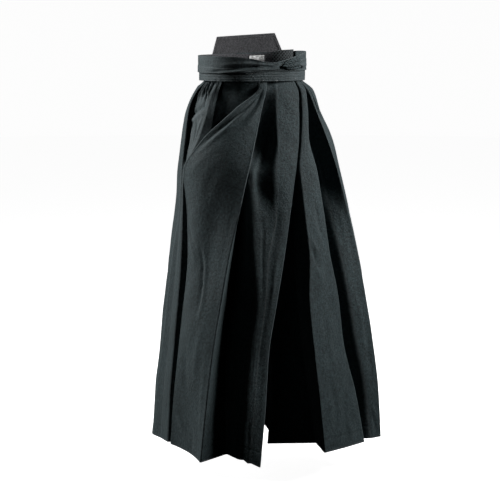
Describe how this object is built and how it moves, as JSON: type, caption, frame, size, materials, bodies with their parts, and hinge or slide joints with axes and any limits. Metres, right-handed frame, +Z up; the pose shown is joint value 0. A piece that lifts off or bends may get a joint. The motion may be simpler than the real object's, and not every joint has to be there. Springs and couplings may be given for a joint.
{
  "type": "hakama trousers",
  "caption": "Pleated, divided wide trousers in the hollow shape of wear, with a stiff back board and ties wound round the waist.",
  "frame": {"origin": "middle of the waist opening, level with the waistband, where the wearer holds it", "axes": "+Z up, the front faces -Y, the wearer's left is +X"},
  "size_m": [0.543, 0.3716, 1.0239],
  "materials": {
    "cotton": "matt black cotton twill with a slight sheen",
    "band_cotton": "matt black cotton twill, folded and stitched in rows",
    "board_cover": "smooth dark cloth over a stiff board",
    "label": "plain white woven tape"
  },
  "bodies": {
    "root": {"front_right": "cotton", "front_left": "cotton", "back_left": "cotton", "back_right": "cotton", "gusset_right": "cotton", "gusset_left": "cotton", "side_fold_right": "cotton", "front_waistband": "band_cotton", "back_waistband": "band_cotton", "back_inner_band": "band_cotton", "tie_left_wrap": "band_cotton", "tie_right_wrap": "band_cotton", "tie_knot": "band_cotton", "koshi_ita": "board_cover", "care_label": "label"}
  },
  "joints": []
}
